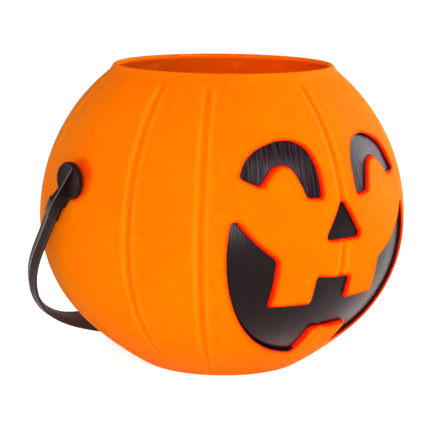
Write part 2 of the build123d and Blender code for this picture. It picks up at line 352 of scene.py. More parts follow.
def trimmed(points, first, last):
    """A polyline without a stretch of a length at its start and at its end."""
    steps = np.concatenate([[0], np.cumsum(np.linalg.norm(np.diff(points, axis=0), axis=1))])
    first, last = min(first, steps[-1] * 0.45), min(last, steps[-1] * 0.45)
    count = max(2, round((steps[-1] - first - last) / OUTLINE_STEP))
    places = np.linspace(first, steps[-1] - last, count)
    return np.column_stack([np.interp(places, steps, points[:, k]) for k in (0, 1)])


def rounded_loop(runs, cuts):
    """Closed outline from runs that meet at corners, each corner rounded over its cut length."""
    short = [trimmed(run, cuts[k - 1], cuts[k]) for k, run in enumerate(runs)]
    points = []
    for k, run in enumerate(short):
        start, corner, end = run[-1], runs[k][-1], short[(k + 1) % len(short)][0]
        one, two = start - corner, end - corner
        bend = math.acos(np.clip(one @ two / np.linalg.norm(one) / np.linalg.norm(two), -1, 1))
        count = max(5, round((np.linalg.norm(one) + np.linalg.norm(two)) / OUTLINE_STEP))
        t = np.linspace(0, 1, count + 1)[1:-1, None]
        pull = 2 * t * (1 - t) * math.sin(bend / 2)
        weight = (1 - t) ** 2 + pull + t ** 2
        points += [run, ((1 - t) ** 2 * start + pull * corner + t ** 2 * end) / weight]
    return np.vstack(points)


def mouth_outline():
    """Crescent with square teeth left standing."""
    def lip(x):
        return LIP_CURVE_CENTRE[1] - math.sqrt(LIP_CURVE_RADIUS ** 2 - x * x)

    def lip_turn(x):
        return math.degrees(math.atan2(lip(x) - LIP_CURVE_CENTRE[1], x))

    def chin_turn(x):
        return math.degrees(math.atan2(-math.sqrt(MOUTH_RADIUS ** 2 - x * x), x))

    gap = LIP_CURVE_CENTRE[1] - MOUTH_CENTRE[1]
    rise = (MOUTH_RADIUS ** 2 - LIP_CURVE_RADIUS ** 2 + gap ** 2) / (2 * gap)
    horn = math.sqrt(MOUTH_RADIUS ** 2 - rise ** 2)
    runs, x = [], -horn
    for left, right, low in UPPER_TEETH:
        runs.append(arc_points(LIP_CURVE_CENTRE, LIP_CURVE_RADIUS, lip_turn(x), lip_turn(left)))
        runs += straight_runs([(left, lip(left)), (left, low), (right, low), (right, lip(right))])
        x = right
    runs.append(arc_points(LIP_CURVE_CENTRE, LIP_CURVE_RADIUS, lip_turn(x), lip_turn(horn)))
    left, right, high = LOWER_TOOTH
    end = math.degrees(math.atan2(rise, horn))
    runs.append(arc_points(MOUTH_CENTRE, MOUTH_RADIUS, end, chin_turn(right)))
    foot = (left, MOUTH_CENTRE[1] - math.sqrt(MOUTH_RADIUS ** 2 - left * left))
    runs += straight_runs([runs[-1][-1], (right, high), (left, high), foot])
    runs.append(arc_points(MOUTH_CENTRE, MOUTH_RADIUS, chin_turn(left), -180.0 - end))
    cuts = [TOOTH_CORNER] * len(runs)
    cuts[8] = cuts[13] = MOUTH_END_CORNER
    return rounded_loop(runs, cuts)


def nose_outline():
    """Rounded triangle."""
    return rounded_loop(straight_runs([*NOSE, NOSE[0]]), [NOSE_CORNER] * 3)


def eye_outline(side):
    """Arched eye: side -1 is the one at -X, side 1 the other."""
    shift = 0.0 if side < 0 else RIGHT_EYE_SHIFT
    knots = EYE_BROW if side < 0 else (RIGHT_EYE_END, *EYE_BROW[1:])
    brow = curve_points([(-side * x + shift, z) for x, z in knots])
    inner = curve_points([(-side * x + shift, z) for x, z in EYE_INNER])
    runs = [brow, line_points(brow[-1], inner[0]), inner, line_points(inner[-1], brow[0])]
    return rounded_loop(runs, [EYE_CORNER] * 4)


def face_outlines():
    """Outline of each painted recess by the name of its paint."""
    return {"left_eye_paint": eye_outline(-1), "right_eye_paint": eye_outline(1),
            "nose_paint": nose_outline(), "mouth_paint": mouth_outline()}


def edge_distance(points, loop):
    """Distance of points from a closed outline, negative inside it."""
    start, end = loop, np.roll(loop, -1, axis=0)
    run = end - start
    length = np.maximum((run ** 2).sum(1), 1e-12)
    result = np.empty(len(points))
    batch = 2000
    for low in range(0, len(points), batch):
        p = points[low:low + batch, None, :]
        along = np.clip(((p - start) * run).sum(2) / length, 0, 1)
        gap = np.sqrt(((p - start - along[:, :, None] * run) ** 2).sum(2).min(1))
        above = (start[:, 1] > p[:, :, 1]) != (end[:, 1] > p[:, :, 1])
        rise = np.where(run[:, 1] == 0, 1e-12, run[:, 1])
        cross = start[:, 0] + run[:, 0] * (p[:, :, 1] - start[:, 1]) / rise
        inside = (above & (p[:, :, 0] < cross)).sum(1) % 2 == 1
        result[low:low + batch] = np.where(inside, -gap, gap)
    return result


def face_distance(x, z, loops, reach):
    """Distance from the nearest face outline, negative inside, and far out of reach."""
    points = np.column_stack([x, z])
    best = np.full(len(points), FAR)
    for loop in loops:
        low, high = loop.min(0) - reach, loop.max(0) + reach
        near = np.all((points >= low) & (points <= high), axis=1)
        if near.any():
            best[near] = np.minimum(best[near], edge_distance(points[near], loop))
    return best


def new_piece(name, points, faces, material, smooth_angle=None):
    """Mesh object from points in millimetres, with smooth shading."""
    mesh = bpy.data.meshes.new(name)
    mesh.from_pydata((np.asarray(points, float) * MM).tolist(), [], faces)
    mesh.validate()
    mesh.polygons.foreach_set("use_smooth", [True] * len(mesh.polygons))
    mesh.update()
    if smooth_angle is not None:
        mesh.set_sharp_from_angle(angle=math.radians(smooth_angle))
    mesh.materials.append(material)
    piece = bpy.data.objects.new(name, mesh)
    bpy.context.scene.collection.objects.link(piece)
    return piece


def turn_faces_out(piece):
    """Makes all faces of a closed piece look outwards."""
    clean = bmesh.new()
    clean.from_mesh(piece.data)
    bmesh.ops.recalc_face_normals(clean, faces=clean.faces)
    clean.to_mesh(piece.data)
    clean.free()


def tube_faces(rows, columns):
    """Quads of a tube of rows whose columns close round, and a face over each end."""
    faces = []
    for row in range(rows - 1):
        low = row * columns
        for k in range(columns):
            nxt = (k + 1) % columns
            faces.append((low + k, low + nxt, low + columns + nxt, low + columns + k))
    faces.append(tuple(range(columns))[::-1])
    faces.append(tuple(range((rows - 1) * columns, rows * columns)))
    return faces


def shell_angles(settings):
    """Angles of the shell's mesh lines: close over the face, grooves and mould lines, wide elsewhere."""
    step = math.degrees(settings.face_cell / MM / EQUATOR_RADIUS)
    face = np.arange(-FACE_HALF_ANGLE, FACE_HALF_ANGLE + step / 2, step)
    rest = list(np.arange(FACE_HALF_ANGLE + 1.5, 360 - FACE_HALF_ANGLE - 1, WIDE_STEP))
    for angle in GROOVE_ANGLES:
        rest += [angle % 360 + off for off in np.linspace(-GROOVE_SPAN, GROOVE_SPAN, 17)]
    for angle in (90.0, 270.0):
        rest += [angle + off for off in MOULD_LINE_STEPS]
    rest = sorted(a for a in rest if face[-1] + step < a < 360 + face[0] - step)
    kept = [rest[0]]
    for angle in rest[1:]:
        if angle - kept[-1] > LEAST_STEP:
            kept.append(angle)
    return np.radians(np.concatenate([face, kept]))


def join_rows(parts):
    """Rows of several stretches and their normals, without the repeated point where two meet."""
    points = np.vstack([parts[0][0], *[p[0][1:] for p in parts[1:]]])
    normals = np.vstack([parts[0][1], *[p[1][1:] for p in parts[1:]]])
    return points, normals


def outer_rows(cell):
    """Rows of the outer side, from the base's edge to the collar's foot."""
    shoulder_end = math.asin((COLLAR_FOOT - EQUATOR_HEIGHT) / SHOULDER_ARC)
    return join_rows([
        profile_arc((BASE_RADIUS, BASE_FILLET), BASE_FILLET, -math.pi / 2, FILLET_ANGLE, step=0.7),
        profile_arc(FOOT_CENTRE, FOOT_ARC, FILLET_ANGLE, -FOOT_ANGLE, step=cell * 1.5),
        profile_arc(BELLY_CENTRE, BELLY_ARC, -FOOT_ANGLE, 0.0, step=cell),
        profile_arc(SHOULDER_CENTRE, SHOULDER_ARC, 0.0, shoulder_end, step=cell)])


def rim_rows():
    """Rows of the collar's softened step, the collar and the rounded lip."""
    foot = float(inset_radius(COLLAR_FOOT, 0.0)) - COLLAR_STEP
    reach = math.hypot(LIP_CENTRE[0] - foot, LIP_HEIGHT - COLLAR_FOOT)
    slope = math.atan2(LIP_HEIGHT - COLLAR_FOOT, LIP_CENTRE[0] - foot) - math.asin(LIP_RADIUS / reach)
    lip = profile_arc(LIP_CENTRE, LIP_RADIUS, slope - math.pi / 2, LIP_ANGLE + math.pi, step=0.28)[0]
    start = np.array([foot, COLLAR_FOOT])
    step = [start + (lip[0] - start) * t + np.array([COLLAR_STEP * left, 0.0])
            for t, left in ((0.06, 0.82), (0.14, 0.52), (0.23, 0.25), (0.34, 0.08), (0.5, 0.0))]
    return np.vstack([step, lip])


def inner_rows():
    """Rows of the inside, from the lip down to the inner base's edge."""
    return join_rows([
        profile_arc(SHOULDER_CENTRE, SHOULDER_ARC - WALL, LIP_ANGLE, 0.0, step=1.6),
        profile_arc(BELLY_CENTRE, BELLY_ARC - WALL, 0.0, -FOOT_ANGLE, step=1.6),
        profile_arc(FOOT_CENTRE, FOOT_ARC - WALL, -FOOT_ANGLE, FILLET_ANGLE, step=2.4),
        profile_arc((BASE_RADIUS, BASE_FILLET), BASE_FILLET - WALL, FILLET_ANGLE, -math.pi / 2, step=0.9)])


def hump(t):
    """1 at 0, and a soft fall to 0 at 1."""
    return 0.5 + 0.5 * np.cos(math.pi * np.minimum(t, 1.0))


def groove_shape(turn, radius, height, settings, widen):
    """How far the grooves sink the wall, and a mark for painted light: 1 for the highlight painted on their
    shoulders and -1 for the shade painted at their bottom.
    """
    sink = np.zeros(np.broadcast(turn, height).shape)
    mark = np.zeros_like(sink)
    grown = smoothstep(GROOVE_FOOT, GROOVE_FULL, height)
    half = settings.groove_width / MM / 2 * (FOOT_WIDTH + (1 - FOOT_WIDTH) * grown) + widen
    depth = settings.groove_depth / MM * (FOOT_DEPTH + (1 - FOOT_DEPTH) * grown)
    ends = smoothstep(GROOVE_RUNOUT, GROOVE_START, height)
    ends = ends * (1 - smoothstep(COLLAR_FOOT - 3.0, COLLAR_FOOT + 0.6, height))
    for angle in GROOVE_ANGLES:
        away = np.abs((turn - math.radians(angle) + math.pi) % (2 * math.pi) - math.pi) * radius / half
        valley = VALLEY_SHARE * hump(away) + (1 - VALLEY_SHARE) * hump(away / FLANK_SPREAD)
        sink = np.maximum(sink, valley * ends)
        # Painted highlight on the shoulders, less painted shade at the bottom
        shoulder = np.exp(-((away - 1) / GROOVE_SHADING_SPREAD) ** 2)
        mark += (shoulder - np.exp(-(away / GROOVE_SHADING_SPREAD) ** 2)) * ends
    return sink * depth, mark


def mould_line(round_angle, radius, height, settings):
    """Height of the thin mould line at both sides."""
    side = np.abs(round_angle - math.pi / 2) * radius
    ends = smoothstep(2, 8, height) * (1 - smoothstep(COLLAR_FOOT - 1.5, COLLAR_FOOT - 0.4, height))
    return (1 - smoothstep(0.1, 0.55, side)) * ends * settings.parting_height / MM


def disc_shade_ring(x, y, z):
    """Distance that gives the wall the red painted shade round the handle's discs, and far elsewhere."""
    out = np.hypot(y, z - PIVOT_HEIGHT) - DISC_RADIUS
    return np.where(np.abs(x) > z * 0.5, DISC_SHADE_START + DISC_SHADE_SLOPE * np.maximum(out, 0.0), FAR)


def bare_wall(x, z):
    """How far the paint stops short of an outline: nothing along the chin, and most at the lower tooth."""
    chin = np.abs(np.hypot(x - MOUTH_CENTRE[0], z - MOUTH_CENTRE[1]) - MOUTH_RADIUS)
    left, right, high = LOWER_TOOTH
    beside = np.maximum(np.maximum(left - x, x - right), z - high)
    bare = BARE_EDGE + (BARE_TOOTH - BARE_EDGE) * (1 - smoothstep(1.5, 4.0, beside))
    return bare * smoothstep(1.5, 4.0, chin)


def wall_points(points, normals, angles, loops, settings, inset):
    """Places of one side of the wall's mesh, with its distance from the outlines and its mark for the
    highlight and shade painted along the grooves.
    """
    radius, height = points[:, :1], points[:, 1:]
    turn = angles[None, :]
    round_angle = np.abs((turn + math.pi) % (2 * math.pi) - math.pi)
    sink, mark = groove_shape(turn, radius, height, settings, inset)
    ridge = 0.0 if inset else mould_line(round_angle, radius, height, settings)
    smooth_x, smooth_y = radius * np.sin(turn), -radius * np.cos(turn)
    smooth_z = np.broadcast_to(height, smooth_x.shape)
    front = np.broadcast_to(round_angle < math.radians(FACE_HALF_ANGLE + 1), smooth_x.shape)
    away = np.full(smooth_x.shape, FAR)
    away[front] = face_distance(smooth_x[front], smooth_z[front], loops, reach=4.0 + inset)
    half = settings.recess_softness / MM / 2
    press = 1 - smoothstep(-half, half, away - inset)
    floor_radius = inset_radius(smooth_z, settings.recess_depth / MM + inset)
    floor_y = -np.sqrt(np.maximum(floor_radius ** 2 - smooth_x ** 2, 0))
    move = (ridge - sink) * (1 - press)
    sunk = np.where(press > 0, floor_y - smooth_y, 0) * press
    x = smooth_x + move * normals[:, :1] * np.sin(turn)
    y = smooth_y - move * normals[:, :1] * np.cos(turn) + sunk
    z = smooth_z + move * normals[:, 1:]
    smooth = np.stack([smooth_x, smooth_y, smooth_z], axis=2).reshape(-1, 3)
    return np.stack([x, y, z], axis=2).reshape(-1, 3), smooth, away.reshape(-1), mark.reshape(-1)


def ring_points(points, angles):
    """Places of plain rows that run round the pail."""
    radius, height = points[:, :1], points[:, 1:]
    x, y = radius * np.sin(angles), -radius * np.cos(angles)
    return np.stack([x, y, np.broadcast_to(height, x.shape)], axis=2).reshape(-1, 3)


def build_shell(settings):
    """The hollow pail as one closed mesh, with soft grooves, pressed-in face, collar and lip."""
    angles = shell_angles(settings)
    loops = list(face_outlines().values())
    outer, outer_normal = outer_rows(settings.face_cell / MM)
    inner, inner_normal = inner_rows()
    # groove carries the mark for the highlight and shade painted along the grooves
    outside, smooth, away, groove = wall_points(outer, outer_normal, angles, loops, settings, 0.0)
    inside = wall_points(inner[1:], inner_normal[1:], angles, loops, settings, WALL)[0]
    points = np.vstack([outside, ring_points(rim_rows(), angles), inside])
    faces = tube_faces(len(points) // len(angles), len(angles))
    shell = new_piece("pumpkin_shell", points, faces, orange_plastic(settings), smooth_angle=60)
    x, y, z = smooth.T
    # The first mark sets the red at the paint's edges and the red painted shade round the discs
    for name, values, elsewhere in (("red_edge_and_disc_shade_distance", np.minimum(away, disc_shade_ring(x, y, z)), FAR),
                                    ("cover_edge", away + bare_wall(x, z), FAR),
                                    ("groove_light_and_shade", groove, 0.0)):
        spread = np.full(len(points), elsewhere, np.float32)
        spread[:len(values)] = values
        shell.data.attributes.new(name, "FLOAT", "POINT").data.foreach_set("value", spread)
    return shell


def build_paint(name, loop, paint, shell, material):
    """Thin closed film on the floor of one recess."""
    steps = np.roll(loop, -1, axis=0) - np.roll(loop, 1, axis=0)
    along = steps / np.maximum(np.linalg.norm(steps, axis=1), 1e-9)[:, None]
    inward = np.column_stack([-along[:, 1], along[:, 0]])
    area = np.sum(loop[:, 0] * np.roll(loop[:, 1], -1) - np.roll(loop[:, 0], -1) * loop[:, 1])
    inward *= 1 if area > 0 else -1
    edge = loop + inward * paint.edge_gap / MM
    low, high = loop.min(0), loop.max(0)
    columns, rows = (np.arange(low[k], high[k], FILM_CELL) for k in (0, 1))
    spots = np.stack(np.meshgrid(columns, rows), 2).reshape(-1, 2)
    spots = spots[edge_distance(spots, loop) < -FILM_RIM_CELL]
    flat = np.vstack([edge, spots])
    rim = [(k, (k + 1) % len(edge)) for k in range(len(edge))]
    inside_only, tolerance = 1, 1e-5
    made = delaunay_2d_cdt([Vector(p) for p in flat], rim, [], inside_only, tolerance)
    flat = np.array([tuple(v) for v in made[0]])
    top_faces = [tuple(f) for f in made[2]]
    depth = shell.recess_depth / MM
    levels = []
    for inset in (depth - paint.film_lift / MM, depth - FILM_GAP):
        radius = inset_radius(flat[:, 1], inset)
        levels.append(np.column_stack([flat[:, 0], -np.sqrt(radius ** 2 - flat[:, 0] ** 2), flat[:, 1]]))
    count = len(flat)
    faces = list(top_faces) + [tuple(k + count for k in reversed(f)) for f in top_faces]
    edges = dict.fromkeys(edge for face in top_faces for edge in zip(face, face[1:] + face[:1]))
    faces += [(b, a, a + count, b + count) for a, b in edges if (b, a) not in edges]
    piece = new_piece(name, np.vstack(levels), faces, material, smooth_angle=40)
    turn_faces_out(piece)
    return piece


def strap_stations():
    """Places along the hanging loop: outer point, inward direction and half width."""
    turn = math.acos((HANDLE_REACH - CORNER_ARC) / (GRIP_ARC - CORNER_ARC))
    low = PIVOT_HEIGHT - LEG_LENGTH
    centre = HANDLE_REACH - CORNER_ARC
    top = low + (GRIP_ARC - CORNER_ARC) * math.sin(turn)
    places = []
    for z in np.linspace(PIVOT_HEIGHT - ROOT_RAMP, low, 15)[:-1]:
        places.append((HANDLE_REACH, z, 0.0))
    for angle in np.linspace(0, -turn, 44)[:-1]:
        places.append((centre + CORNER_ARC * math.cos(angle), low + CORNER_ARC * math.sin(angle), angle))
    for angle in np.linspace(-turn, -math.pi / 2, 22):
        places.append((GRIP_ARC * math.cos(angle), top + GRIP_ARC * math.sin(angle), angle))
    places += [(-x, z, -math.pi - a) for x, z, a in reversed(places[:-1])]
    stations = []
    for x, z, angle in places:
        wide = 1 - smoothstep(GRIP_HALF_LENGTH, GRIP_HALF_LENGTH + GRIP_TAPER, abs(x))
        half = STRAP_WIDTH / 2 + (GRIP_WIDTH - STRAP_WIDTH) / 2 * float(wide)
        stations.append(((x, z), (-math.cos(angle), -math.sin(angle)), half))
    return stations


def strap_section(half, thickness, ridge, bead):
    """Cross-section of the strap as (distance across, depth in from the outer face at its edges)."""
    roof = RIDGE_WIDTH / 2
    side = [(0.2, -ridge), (0.5, 0.12 - ridge), (roof - 0.3, 0.02), (half - 0.32, 0.05),
            (half - 0.1, 0.16), (half, 0.42), (half, thickness - 0.4),
            (half - 0.12, thickness - 0.12), (half - 0.4, thickness), (1.5, thickness),
            (1.05, thickness + bead * 0.35), (0.75, thickness + bead * 0.9), (0.35, thickness + bead)]
    return side + [(-y, d) for y, d in reversed(side)]


def lofted(outlines):
    """Closed solid through outlines of equal count."""
    points = [p for outline in outlines for p in outline]
    return points, tube_faces(len(outlines), len(outlines[0]))


def turned(profile, count, side):
    """Closed solid turned about the pivot line from (radius, place along X) points."""
    angles = np.linspace(0, 2 * math.pi, count, endpoint=False)
    return lofted([[(side * x, radius * math.cos(a), PIVOT_HEIGHT + radius * math.sin(a)) for a in angles]
                   for radius, x in profile])


def end_disc(side):
    """Dished disc with its stud and snap head."""
    out, inn, r = DISC_OUTER, DISC_INNER, DISC_RADIUS
    head = HEAD_OUTER - HEAD_LENGTH
    profile = [(1.0, out - 0.9), (r - 2.9, out - 1.0), (r - 2.2, out - 0.85), (r - 1.7, out - 0.35),
               (r - 1.35, out - 0.08), (r - 0.9, out), (r - 0.4, out - 0.12), (r - 0.1, out - 0.45),
               (r, out - 0.9), (r, inn + 0.6), (r - 0.15, inn + 0.2), (r - 0.6, inn),
               (STUD_RADIUS + 0.4, inn), (STUD_RADIUS, inn - 0.3), (STUD_RADIUS, HEAD_OUTER + 0.1),
               (HEAD_RADIUS - 0.2, HEAD_OUTER), (HEAD_RADIUS, HEAD_OUTER - 0.25),
               (HEAD_RADIUS * 0.68, head + 0.2), (HEAD_RADIUS * 0.55, head)]
    return turned(profile, count=72, side=side)


def roofed_ring(outer, inner, half, rise):
    """Outline of a block with a roof that rises to its crest, as (place along X, distance across)."""
    ring = [(outer + rise, 0.2), (outer + rise * 0.92, 0.5), (outer, half - 0.4),
            (outer - 0.12, half - 0.1), (outer - 0.4, half), (inner + 0.4, half), (inner, half - 0.4)]
    return ring + [(x, -y) for x, y in reversed(ring)]


def root_neck(side, ridge):
    """Neck that ramps up from the disc to the root block, and whose roof grows on the way."""
    outlines = []
    proud = HANDLE_REACH + ROOT_PROUD - 0.15
    for drop, outer, rise in ((DISC_RADIUS - 2.4, DISC_OUTER - 0.9, 0.0),
                              (DISC_RADIUS - 1.6, DISC_OUTER, 0.05),
                              (ROOT_RAMP + 0.2, proud, 0.93), (ROOT_RAMP + 1, proud, 0.93)):
        inner = DISC_INNER + 0.5 + max(0.0, drop - DISC_RADIUS) * 0.3
        ring = roofed_ring(outer, inner, NECK_WIDTH / 2, ridge * rise)
        outlines.append([(side * x, y, PIVOT_HEIGHT - drop) for x, y in ring])
    return lofted(outlines)


def root_block(side, ridge):
    """Block with a roof that holds the strap's end, cut off straight at both ends."""
    outlines = []
    for drop, shrink in ((ROOT_RAMP, 0.25), (ROOT_RAMP + 0.08, 0.1), (ROOT_RAMP + 0.3, 0.0),
                         (ROOT_LENGTH - 0.3, 0.0), (ROOT_LENGTH - 0.08, 0.1), (ROOT_LENGTH, 0.25)):
        ring = roofed_ring(HANDLE_REACH + ROOT_PROUD - shrink, HANDLE_REACH - ROOT_DEPTH + shrink,
                           ROOT_WIDTH / 2 - shrink, ridge)
        outlines.append([(side * x, y, PIVOT_HEIGHT - drop) for x, y in ring])
    return lofted(outlines)


def centre_fin(side, ridge):
    """Thin web whose crest runs straight from the top of the dish to the roof of the block."""
    outlines = []
    crest = HANDLE_REACH + ROOT_PROUD + ridge - 0.06
    top = 2.0 - DISC_RADIUS
    foot = DISC_OUTER - FIN_DEPTH
    for drop, reach, half in ((top - 0.5, DISC_OUTER - 0.4, 0.25), (top, DISC_OUTER - 0.02, 0.5),
                              (ROOT_RAMP, crest, 0.62), (ROOT_RAMP + 0.9, crest, 0.62)):
        ring = [(reach, -0.16), (reach, 0.16), (reach - 0.22, half * 0.8), (foot, half + 0.1),
                (foot, -half - 0.1), (reach - 0.22, half * -0.8)]
        outlines.append([(side * x, y, PIVOT_HEIGHT - drop) for x, y in ring])
    return lofted(outlines)


def build_handle(settings):
    """The handle: strap, roots, fins and discs, swung back to where it hangs."""
    thickness, bead = settings.strap_thickness / MM, settings.bead_height / MM
    ridge = settings.ridge_height / MM
    rings = []
    for (x, z), (inx, inz), half in strap_stations():
        section = strap_section(half, thickness, ridge, bead)
        rings.append([(x + inx * d, y, z + inz * d) for y, d in section])
    # Marks of how much highlight is painted round each solid's outline
    solids = [(*lofted(rings), STRAP_HIGHLIGHT + STRAP_HIGHLIGHT[::-1])]
    for side in (1, -1):
        solids += [(*end_disc(side), NO_HIGHLIGHT), (*root_neck(side, ridge), NO_HIGHLIGHT),
                   (*root_block(side, ridge), BLOCK_HIGHLIGHT + BLOCK_HIGHLIGHT[::-1]),
                   (*centre_fin(side, ridge), FIN_HIGHLIGHT)]
    points, faces, painted_highlight = [], [], []
    for more_points, more_faces, marks in solids:
        first = len(points)
        points += more_points
        faces += [tuple(k + first for k in face) for face in more_faces]
        inner = range(len(marks), len(more_points) - len(marks))
        painted_highlight += [marks[k % len(marks)] if k in inner else 0.0 for k in range(len(more_points))]
    handle = new_piece("strap_handle", points, faces, black_plastic(settings), smooth_angle=32)
    handle.data.attributes.new("painted_highlight", "FLOAT", "POINT").data.foreach_set("value", painted_highlight)
    turn_faces_out(handle)
    pivot = Matrix.Translation((0, 0, PIVOT_HEIGHT * MM))
    handle.data.transform(pivot @ Matrix.Rotation(settings.hang_angle, 4, "X") @ pivot.inverted())
    return handle


def set_sockets(tree, node, inputs):
    """Sets a node's input sockets, or links them where an output is given."""
    for name, given in inputs.items():
        if isinstance(given, bpy.types.NodeSocket):
            tree.links.new(given, node.inputs[name])
        else:
            node.inputs[name].default_value = given


def new_node(tree, kind, inputs):
    """New node with its input sockets set or linked."""
    node = tree.nodes.new(kind)
    set_sockets(tree, node, inputs)
    return node


def moulded_grain():
    """Shared surface grain: fine pebble and slow blotches, drawn out along Y and Z by a Stretch under 1."""
    found = bpy.data.node_groups.get("Moulded grain")
    if found:
        return found
    group = bpy.data.node_groups.new("Moulded grain", "ShaderNodeTree")
    for name, default in (("Fine scale", 900.0), ("Blotch scale", 14.0), ("Stretch", 1.0)):
        made = group.interface.new_socket(name=name, in_out="INPUT", socket_type="NodeSocketFloat")
        made.default_value = default
    for name in ("Height", "Blotch"):
        group.interface.new_socket(name=name, in_out="OUTPUT", socket_type="NodeSocketFloat")
    given = group.nodes.new("NodeGroupInput").outputs
    result = group.nodes.new("NodeGroupOutput")
    place = group.nodes.new("ShaderNodeTexCoord").outputs["Object"]
    stretch = {"X": 1.0, "Y": given["Stretch"], "Z": given["Stretch"]}
    squeeze = new_node(group, "ShaderNodeCombineXYZ", stretch).outputs["Vector"]
    stretched = new_node(group, "ShaderNodeVectorMath", {0: place, 1: squeeze})
    stretched.operation = "MULTIPLY"
    for label, scale, detail in (("Height", "Fine scale", 3.0), ("Blotch", "Blotch scale", 4.0)):
        noise = new_node(group, "ShaderNodeTexNoise", {
            "Vector": stretched.outputs["Vector"], "Scale": given[scale], "Detail": detail,
            "Roughness": 0.55})
        set_sockets(group, result, {label: noise.outputs["Fac"]})
    return group


def new_material(name):
    """Material with its node tree and its Principled shader."""
    material = bpy.data.materials.new(name)
    material.use_nodes = True
    tree = material.node_tree
    return material, tree, tree.nodes["Principled BSDF"]


def placed_grain(tree, fine, blotch, stretch):
    """Outputs of the shared grain, placed in a material with its own values."""
    grain = tree.nodes.new("ShaderNodeGroup")
    grain.node_tree = moulded_grain()
    set_sockets(tree, grain, {"Fine scale": fine, "Blotch scale": blotch, "Stretch": stretch})
    return grain.outputs


def mark_value(tree, name):
    """Value that a piece's mesh carries under a name."""
    mark = tree.nodes.new("ShaderNodeAttribute")
    mark.attribute_name = name
    return mark.outputs["Fac"]


def place_parts(tree, kind):
    """X, Y and Z of a texture coordinate."""
    place = tree.nodes.new("ShaderNodeTexCoord").outputs[kind]
    return new_node(tree, "ShaderNodeSeparateXYZ", {"Vector": place}).outputs


def mapped(tree, value, low, high, to_low, to_high):
    """A value moved from one range to another."""
    change = new_node(tree, "ShaderNodeMapRange", {
        "Value": value, "From Min": low, "From Max": high, "To Min": to_low, "To Max": to_high})
    return change.outputs["Result"]


def calculated(tree, operation, first, second):
    """Result of a calculation with two values."""
    made = new_node(tree, "ShaderNodeMath", {0: first, 1: second})
    made.operation = operation
    return made.outputs["Value"]


def bumped(tree, height, strength, distance):
    """Normal from a height."""
    bump = new_node(tree, "ShaderNodeBump", {
        "Height": height, "Strength": strength, "Distance": distance})
    return bump.outputs["Normal"]


def blended(tree, amount, first, second):
    """Colour between two, each a colour or an output."""
    mix = tree.nodes.new("ShaderNodeMix")
    mix.data_type = "RGBA"
    tree.links.new(amount, mix.inputs["Factor"])
    for given, name in ((first, "A"), (second, "B")):
        target = next(s for s in mix.inputs if s.name == name and s.type == "RGBA")
        if isinstance(given, bpy.types.NodeSocket):
            tree.links.new(given, target)
        else:
            target.default_value = (*given, 1.0)
    return next(s for s in mix.outputs if s.type == "RGBA")


def orange_plastic(settings):
    """Satin orange plastic with soft blotches, fine grain, painted highlight and shade along the grooves,
    red and black where the paint ends, and red painted shade round the discs.
    """
    material, tree, shader = new_material("orange_plastic")
    grain = placed_grain(tree, fine=1400.0, blotch=16.0, stretch=0.45)
    blotch = mapped(tree, grain["Blotch"], 0.35, 0.68, 0.0, 1.0)
    colour = blended(tree, blotch, settings.orange, settings.deep_orange)
    # Painted highlight and shade along the grooves, then the red edge with its painted shade round the
    # discs, then the paint on the walls
    for name, near, far, over in (("groove_light_and_shade", 1.0, 0.0, settings.groove_highlight_orange),
                                  ("groove_light_and_shade", -1.0, 0.0, settings.groove_shade_orange),
                                  ("red_edge_and_disc_shade_distance", 0.15, 2.4, settings.red_edge_and_disc_shade),
                                  ("cover_edge", 0.12, 0.42, settings.wall_paint)):
        amount = mapped(tree, mark_value(tree, name), far, near, 0.0, 1.0)
        colour = blended(tree, amount, colour, over)
    set_sockets(tree, shader, {
        "Base Color": colour,
        "Roughness": mapped(tree, grain["Blotch"], 0.3, 0.7, 0.5, 0.62),
        "Normal": bumped(tree, grain["Height"], strength=0.12, distance=0.0002),
        "IOR": 1.5, "Specular IOR Level": 0.014, "Specular Tint": (1.0, 0.4, 0.1, 1.0),
        "Subsurface Weight": 1.0, "Subsurface Radius": (1.0, 0.06, 0.02), "Subsurface Scale": 0.01})
    return material


def black_plastic(settings):
    """Satin black moulded plastic with a fine grain, paler where a highlight is painted along its crests,
    edges and inner face.
    """
    material, tree, shader = new_material("black_plastic")
    grain = placed_grain(tree, fine=1100.0, blotch=60.0, stretch=1.0)
    lift = mapped(tree, grain["Blotch"], 0.35, 0.7, 0.0, 1.0)
    pale = tuple(min(1.0, c * BLOTCH_LIFT) for c in settings.black)
    body = blended(tree, lift, settings.black, pale)
    # The base colour takes the highlight painted where the mesh marks it
    set_sockets(tree, shader, {
        "Base Color": blended(tree, mark_value(tree, "painted_highlight"), body, settings.painted_highlight),
        "Roughness": mapped(tree, grain["Blotch"], 0.3, 0.7, 0.34, 0.5),
        "Normal": bumped(tree, grain["Height"], strength=0.2, distance=0.0003),
        "IOR": 1.5, "Specular IOR Level": 0.13, "Specular Tint": (1.0, 0.72, 0.7, 1.0)})
    return material


def brush_streaks(tree, parts):
    """Noise that is fine round the pail and drawn out up its side, as a brush leaves it."""
    front = mapped(tree, parts["Y"], 0.0, -1.0, 0.0, 1.0)
    along = new_node(tree, "ShaderNodeCombineXYZ", {
        "X": calculated(tree, "ARCTAN2", parts["X"], front),
        "Z": mapped(tree, parts["Z"], 0.0, 1.0, 0.0, 0.5)})
    streaks = new_node(tree, "ShaderNodeTexNoise", {
        "Vector": along.outputs["Vector"], "Scale": 90.0, "Detail": 3.0, "Roughness": 0.6})
    return streaks.outputs["Fac"]


